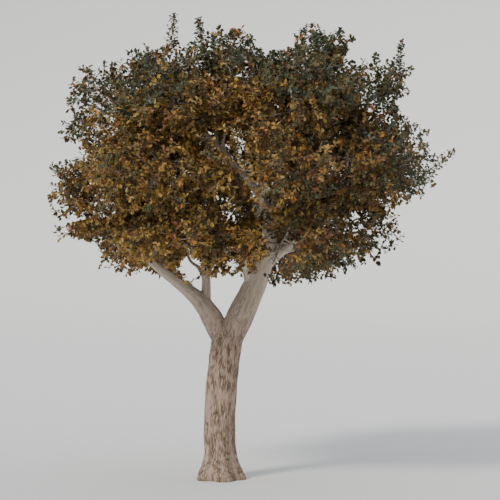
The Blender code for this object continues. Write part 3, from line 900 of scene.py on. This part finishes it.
def grow_side_twigs(branchlet, count, places, spread, longest, taper, chance):
    """The finest twigs of a branchlet, dealt round it and shorter towards its end."""
    way = (branchlet.end - branchlet.start).normalized()
    side = way.orthogonal().normalized()
    around = chance.uniform(0, 2 * math.pi)
    lowest, highest = places
    grown = []
    for number in range(count):
        share = lowest + (highest - lowest) * number / (count - 1)
        turned = Matrix.Rotation(around + GOLDEN_TURN * number, 3, way) @ side
        lean = way * math.cos(spread) + turned * math.sin(spread) + Vector((0, 0, SIDE_TWIG_LIFT))
        length = longest * (1 - taper * share) * chance.uniform(*SIDE_TWIG_VARIES)
        start = branchlet.start.lerp(branchlet.end, share)
        end = start + lean.normalized() * length
        grown.append(Twig(start, end, SIDE_TWIG_DIAMETER, SIDE_TWIG_DIAMETER / 2))
    return grown


def kept_inside(mass, twigs, chance):
    """The twigs that the mass's space holds, cut back where only less of them is inside."""
    starts = np.array([twig.start for twig in twigs])
    ways = np.array([twig.end for twig in twigs]) - starts
    lengths = np.zeros(len(twigs))
    draws = np.array([chance.random() for _ in twigs])
    for cut in reversed(SIDE_TWIG_CUTS):
        ends = starts + ways * cut
        holds = box_holds(ends)
        if mass is not None:
            holds &= space_holds(mass, ends)
        lengths[holds & grows_here(ends, draws)] = cut
    pairs = [(twig, length) for twig, length in zip(twigs, lengths) if length]
    return [twig._replace(end=twig.start.lerp(twig.end, length)) for twig, length in pairs]


def grow_shoot(shoot, twigs):
    """A shoot that stands out of its mass, and the twig that leads to it from the nearest one."""
    tip = Vector(shoot.tip)
    root = tip - heading(shoot.bearing, shoot.rise) * shoot.length
    start = min((twig.end for twig in twigs), key=lambda end: (end - root).length)
    return Twig(start, root, TWIG_TIP, TWIG_TIP), Twig(root, tip, TWIG_TIP, TWIG_TIP / 4)


strong_twigs = []
fine_twigs = []
leafy_twigs = []
for mass in masses.values():
    chance = random.Random(f"{SEED} {mass.name}")
    twigs = grow_strong_twigs(mass, limbs[carrier[mass.name]], chance)
    strong_twigs += twigs
    branchlets = in_view(grow_branchlets(mass, twigs, chance))
    if mass.name in SHOOTS:
        shoot = SHOOTS[mass.name]
        lead, leader = grow_shoot(shoot, twigs)
        strong_twigs += [lead, leader]
        branchlets.append(lead)
        spread = math.radians(SHOOT_SPREAD)
        taper = 1 - SHOOT_HIGHEST
        side_twigs = grow_side_twigs(
            leader,
            SHOOT_TWIGS,
            SHOOT_PLACES,
            spread,
            shoot.spray * SHOOT_SLIMNESS,
            taper,
            chance,
        )
        side_twigs = kept_inside(None, side_twigs, chance)
        fine_twigs += side_twigs
        leafy_twigs += [(None, twig) for twig in side_twigs]
    spread = math.radians(SIDE_TWIG_SPREAD)
    for branchlet in branchlets:
        side_twigs = grow_side_twigs(
            branchlet,
            SIDE_TWIGS,
            SIDE_TWIG_PLACES,
            spread,
            SIDE_TWIG_LENGTH,
            SIDE_TWIG_TAPER,
            chance,
        )
        side_twigs = in_view(kept_inside(mass, side_twigs, chance))
        fine_twigs += [branchlet, *side_twigs]
        tail = Twig(branchlet.start.lerp(branchlet.end, TAIL_FROM), branchlet.end, 0, 0)
        leafy_twigs += [(mass, twig) for twig in [*side_twigs, tail]]


def frames_of(ways):
    """For each way, its direction and two directions square to it and to each other."""
    along = ways / np.linalg.norm(ways, axis=1, keepdims=True)
    side = np.cross(along, ASKEW)
    side /= np.linalg.norm(side, axis=1, keepdims=True)
    return along, side, np.cross(along, side)


def twig_tubes(twigs, sides):
    """Corners and faces of tapering open tubes, one to each twig."""
    starts = np.array([twig.start for twig in twigs])
    ends = np.array([twig.end for twig in twigs])
    bases = np.array([twig.base / 2 for twig in twigs])
    tips = np.array([twig.tip / 2 for twig in twigs])
    _, side, up = frames_of(ends - starts)
    turns = 2 * math.pi * np.arange(sides) / sides
    rim = np.cos(turns)[:, None] * side[:, None, :] + np.sin(turns)[:, None] * up[:, None, :]
    low = starts[:, None, :] + rim * bases[:, None, None]
    high = ends[:, None, :] + rim * tips[:, None, None]
    corners = np.concatenate([low, high], axis=1).reshape(-1, 3)
    around = np.arange(sides)
    ahead = (around + 1) % sides
    faces = np.stack([around, ahead, ahead + sides, around + sides], axis=1)
    faces = faces + 2 * sides * np.arange(len(twigs))[:, None, None]
    return corners, faces.reshape(-1, 4)


def joined_piece(name, corners, faces, material):
    """Many small things as one mesh, standing for all the masses of leaves."""
    mesh = bpy.data.meshes.new(name)
    mesh.from_pydata(corners, [], faces)
    mesh.materials.append(material)
    piece = new_object(name, mesh)
    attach(piece, "root")
    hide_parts(*masses)
    return piece


TWIG_BROWN = (0.16, 0.110, 0.075)
TWIG_GREY = (0.42, 0.345, 0.28)
TWIG_BLOOM = (9.0, 3.0)
TWIG_ROUGHNESS = 0.8


def twig_finish():
    """Thin young bark, brown with grey bloom in patches."""
    material, shader = new_finish("twig_bark")
    place = Wire(shader.inputs["Base Color"]).node("ShaderNodeTexCoord", {}, {}, "Object")
    colour = ramp(clouds(place, *TWIG_BLOOM), (0.40, TWIG_BROWN), (0.62, TWIG_GREY))
    colour.into(shader.inputs["Base Color"])
    shader.inputs["Roughness"].default_value = TWIG_ROUGHNESS
    return material


strong_corners, strong_faces = twig_tubes(strong_twigs, STRONG_TWIG_SIDES)
fine_corners, fine_faces = twig_tubes(fine_twigs, FINE_TWIG_SIDES)
twig_corners = np.concatenate([strong_corners, fine_corners])
twig_faces = np.concatenate([strong_faces, fine_faces + len(strong_corners)])
twig_piece = joined_piece("twigs", twig_corners, twig_faces, twig_finish())
twig_piece.data.shade_smooth()


# Leaves. Small lobed oak leaves in their autumn tints, leathery and folded along the midrib, set
# round every fine twig out to its tip. The spray on each twig has one tint: more golden to the left
# and darker brown to the right, partly autumn colour and partly painted light from the key on the
# left and painted shade away from it, and dull green in the fringe above and to the right.
LEAF_HALF = ((0.0, 0.0), (0.21, 0.27), (0.12, 0.43), (0.31, 0.70), (0.0, 1.0))
LEAF_FOLD = 0.40
LEAF_CURL = 0.14
LEAF_LENGTHS = (0.095, 0.140)
SHOOT_LEAF = 0.75
LEAVES_ON_TWIG = 7
LEAF_PLACES = (0.12, 1.0)
LEAF_AHEAD = 0.575
LEAF_SPREAD = 0.85
LEAF_DROOP = 0.10
LEAF_JITTER = 0.40
LEAF_UPWARDS = 0.9
LEAF_ROLL = 0.55
LEAF_BARK_CLEAR = 0.01
LEAF_MERGE = 0.001
LEAF_ROUGHNESS = 0.6
Tint = namedtuple("Tint", "colour left right fringe")
TINTS = {
    "gold": Tint((0.37, 0.224, 0.048), 2.5, 0.6, 0.15),
    "rust": Tint((0.30, 0.138, 0.026), 2.3, 1.6, 0.25),
    "russet": Tint((0.158, 0.064, 0.020), 1.2, 1.7, 0.35),
    "tan": Tint((0.285, 0.182, 0.046), 3.5, 1.9, 0.3),
    "brown": Tint((0.165, 0.099, 0.026), 3.0, 3.2, 0.9),
    "umber": Tint((0.084, 0.054, 0.016), 1.6, 2.8, 2.6),
    "olive": Tint((0.082, 0.080, 0.027), 0.8, 1.4, 4.0),
    "sage": Tint((0.056, 0.074, 0.041), 0.2, 0.4, 4.4),
}
# Between these the sprays go from golden to darker brown: partly autumn colour, partly painted light
# on the left and painted shade on the right.
LEFT_FROM = 0.6
RIGHT_FROM = 2.0
FRINGE_MIDDLE = Vector((0.4, 0.0, 7.6))
FRINGE_REACH = (5.3, 7.0, 3.45)
FRINGE_FROM = 0.73
FRINGE_FULL = 0.90
FRINGE_ABOVE = 7.0


def leaf_blade():
    """One leaf, a unit long on +Y: half its outline, mirrored, folded on the midrib and curled."""
    leaf = bmesh.new()
    leaf.faces.new([leaf.verts.new((x, y, 0.0)) for x, y in LEAF_HALF])
    bmesh.ops.triangulate(leaf, faces=leaf.faces)
    geometry = leaf.verts[:] + leaf.edges[:] + leaf.faces[:]
    bmesh.ops.mirror(leaf, geom=geometry, axis="X", merge_dist=LEAF_MERGE)
    bmesh.ops.recalc_face_normals(leaf, faces=leaf.faces)
    leaf.verts.index_update()
    corners = np.array([vert.co for vert in leaf.verts])
    faces = np.array([[vert.index for vert in face.verts] for face in leaf.faces])
    leaf.free()
    corners[:, 2] = LEAF_FOLD * abs(corners[:, 0]) - LEAF_CURL * corners[:, 1] ** 2
    return corners, faces


def tint_of(place, chance):
    """The tint of the spray at this place, by chance and by where it is: golden to the left and darker
    to the right, partly painted light and shade.
    """
    rightwards_tint_and_shade = min(1.0, max(0.0, (place.x - LEFT_FROM) / (RIGHT_FROM - LEFT_FROM)))
    way = place - FRINGE_MIDDLE
    outwards = math.sqrt(sum((part / reach) ** 2 for part, reach in zip(way, FRINGE_REACH)))
    fringe = min(1.0, max(0.0, (outwards - FRINGE_FROM) / (FRINGE_FULL - FRINGE_FROM)))
    if way.x < 0:
        fringe *= min(1.0, max(0.0, place.z - FRINGE_ABOVE))
    weights = []
    for tint in TINTS.values():
        inner = tint.left + (tint.right - tint.left) * rightwards_tint_and_shade
        weights.append(inner + (tint.fringe - inner) * fringe)
    return chance.choices(list(TINTS), weights)[0]


def leaves_on(twigs, dice):
    """Roots and frames of the leaves round these twigs: places, directions and upper sides."""
    starts = np.array([twig.start for twig in twigs])
    ways = np.array([twig.end - twig.start for twig in twigs])
    along, side, up = (np.repeat(each, LEAVES_ON_TWIG, axis=0) for each in frames_of(ways))
    number = np.tile(np.arange(LEAVES_ON_TWIG), len(twigs))
    nearest, furthest = LEAF_PLACES
    share = nearest + (furthest - nearest) * number / (LEAVES_ON_TWIG - 1)
    turn = (GOLDEN_TURN * number + dice.uniform(0, 2 * math.pi, len(number)))[:, None]
    roots = np.repeat(starts, LEAVES_ON_TWIG, axis=0)
    roots = roots + np.repeat(ways, LEAVES_ON_TWIG, axis=0) * share[:, None]
    outward = np.cos(turn) * side + np.sin(turn) * up
    towards = along * LEAF_AHEAD + outward * LEAF_SPREAD - (0, 0, LEAF_DROOP)
    towards = towards + dice.normal(0, LEAF_JITTER, towards.shape)
    above = dice.normal(0, LEAF_ROLL, towards.shape) + (0, 0, LEAF_UPWARDS)
    return roots, towards, above


blade_corners, blade_faces = leaf_blade()
leaf_sets = {name: [] for name in TINTS}
dice = np.random.default_rng(SEED)
chance = random.Random(SEED)
for mass, twig in leafy_twigs:
    roots, towards, above = leaves_on([twig], dice)
    sizes = np.full(len(roots), SHOOT_LEAF if mass is None else 1.0)
    if mass is not None:
        keeps = space_holds(mass, roots) & (clear_of_bark(roots) > LEAF_BARK_CLEAR)
        keeps &= ~before_open_limbs(roots) | (dice.random(len(roots)) < OPEN_KEEPS)
        keeps &= grows_here(roots, np.full(len(roots), dice.random()))
        roots, towards, above, sizes = (each[keeps] for each in (roots, towards, above, sizes))
    leaf_sets[tint_of(twig.end, chance)].append((roots, towards, above, sizes))

for name, tint in TINTS.items():
    roots, towards, above, sizes = (np.concatenate(each) for each in zip(*leaf_sets[name]))
    towards /= np.linalg.norm(towards, axis=1, keepdims=True)
    side = np.cross(towards, above)
    side /= np.linalg.norm(side, axis=1, keepdims=True)
    up = np.cross(side, towards)
    lengths = (sizes * dice.uniform(*LEAF_LENGTHS, len(roots)))[:, None, None]
    axes = np.stack([side, towards, up], axis=1)
    corners = roots[:, None, :] + lengths * (blade_corners @ axes)
    corners = corners[box_holds(corners).all(axis=1)]
    faces = blade_faces + len(blade_corners) * np.arange(len(corners))[:, None, None]
    material, shader = new_finish(f"{name}_leaf")
    shader.inputs["Base Color"].default_value = (*tint.colour, 1.0)
    shader.inputs["Roughness"].default_value = LEAF_ROUGHNESS
    corners = corners.reshape(-1, 3)
    joined_piece(f"leaves_{name}", corners, faces.reshape(-1, 3), material)


# The studio: a plain pale floor that rises far off into a round wall, soft light from every side, a
# soft-edged key from high on the left in front, and a level camera with a long lens.
FLOOR_COLOUR = (0.72, 0.72, 0.70)
FLOOR_ROUGHNESS = 0.9
FLOOR_RADIUS = 80.0
WALL_RADIUS = 30.0
WALL_HEIGHT = 70.0
FLOOR_TURNS = 96
FLOOR_MERGE = 0.001
WALL_STEPS = 8
SKY_COLOUR = (0.86, 0.91, 1.0)
SKY_STRENGTH = 1.05
KEY_COLOUR = (1.0, 0.95, 0.88)
KEY_STRENGTH = 2.75
KEY_ANGLE = 14.0
KEY_WAY = (-0.62, -0.70, 0.72)
FRAME_WIDTH = 12.848
SENSOR = 36.0
CAMERA_REACH = 400.0

backdrop = bmesh.new()
profile = [Vector((0, 0, 0)), Vector((FLOOR_RADIUS, 0, 0))]
for number in range(1, WALL_STEPS + 1):
    turn = math.pi / 2 * number / WALL_STEPS
    across = FLOOR_RADIUS + WALL_RADIUS * math.sin(turn)
    profile.append(Vector((across, 0, WALL_RADIUS * (1 - math.cos(turn)))))
profile.append(Vector((FLOOR_RADIUS + WALL_RADIUS, 0, WALL_HEIGHT)))
verts = [backdrop.verts.new(point) for point in profile]
edges = [backdrop.edges.new(pair) for pair in zip(verts, verts[1:])]
bmesh.ops.spin(
    backdrop,
    geom=verts + edges,
    cent=(0, 0, 0),
    axis=(0, 0, 1),
    angle=2 * math.pi,
    steps=FLOOR_TURNS,
    use_merge=True,
)
bmesh.ops.remove_doubles(backdrop, verts=backdrop.verts, dist=FLOOR_MERGE)
bmesh.ops.recalc_face_normals(backdrop, faces=backdrop.faces)
floor_mesh = bpy.data.meshes.new("studio_floor")
backdrop.to_mesh(floor_mesh)
backdrop.free()
floor_mesh.shade_smooth()
floor_finish, floor_shader = new_finish("studio_paint")
floor_shader.inputs["Base Color"].default_value = (*FLOOR_COLOUR, 1.0)
floor_shader.inputs["Roughness"].default_value = FLOOR_ROUGHNESS
floor_mesh.materials.append(floor_finish)
floor = new_object("studio_floor", floor_mesh)

world = bpy.data.worlds.new("studio")
world.use_nodes = True
world.node_tree.nodes["Background"].inputs["Color"].default_value = (*SKY_COLOUR, 1.0)
world.node_tree.nodes["Background"].inputs["Strength"].default_value = SKY_STRENGTH
bpy.context.scene.world = world

key_data = bpy.data.lights.new("key", "SUN")
key_data.energy = KEY_STRENGTH
key_data.angle = math.radians(KEY_ANGLE)
key_data.color = KEY_COLOUR
key = new_object("key", key_data)
key.rotation_euler = Vector(KEY_WAY).to_track_quat("Z", "Y").to_euler()

camera_data = bpy.data.cameras.new("camera")
camera_data.sensor_width = SENSOR
camera_data.lens = SENSOR * -VIEWED_FROM[1] / FRAME_WIDTH
camera_data.clip_end = CAMERA_REACH
camera = new_object("camera", camera_data)
camera.location = VIEWED_FROM
camera.rotation_euler = (math.pi / 2, 0, 0)
bpy.context.scene.camera = camera
